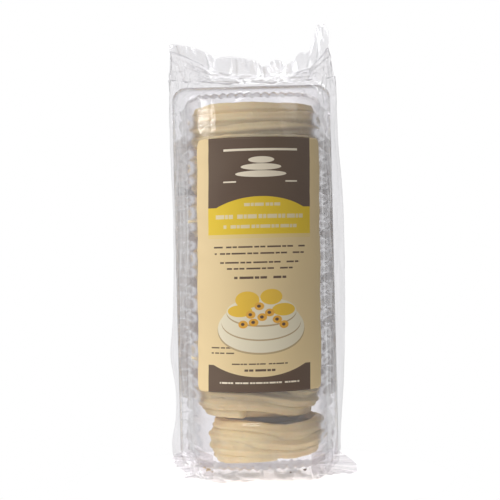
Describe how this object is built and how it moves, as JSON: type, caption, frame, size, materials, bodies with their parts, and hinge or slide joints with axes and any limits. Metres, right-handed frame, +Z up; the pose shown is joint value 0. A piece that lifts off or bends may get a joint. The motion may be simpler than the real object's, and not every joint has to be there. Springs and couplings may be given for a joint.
{
  "type": "passion fruit meringue nest pack",
  "caption": "Upright sealed clear wrapper round a tray of piped meringue nests, with a crimped fin and a folded ear on top, a squashed lower seal, and front and back stickers.",
  "frame": {"origin": "centre of the base, under the middle of the bounding box", "axes": "+Z up along the pack, -Y towards the front sticker, +X to the right seen from the front"},
  "size_m": [0.108, 0.0798, 0.2582],
  "materials": {
    "film": "thin clear film, glossy, softly creased",
    "front_sticker": "satin coated paper, cream with brown and yellow fields",
    "back_sticker": "matte paper, warm grey seen from behind",
    "tray": "clear formed plastic, glossy",
    "meringue": "dry cream-coloured meringue, faintly pitted"
  },
  "bodies": {
    "root": {"film_bag": "film", "clear_tray": "tray", "meringue_1": "meringue", "meringue_2": "meringue", "meringue_3": "meringue", "meringue_4": "meringue", "meringue_5": "meringue", "meringue_6": "meringue", "meringue_7": "meringue", "meringue_8": "meringue", "front_label": "front_sticker", "back_label": "back_sticker"}
  },
  "joints": []
}
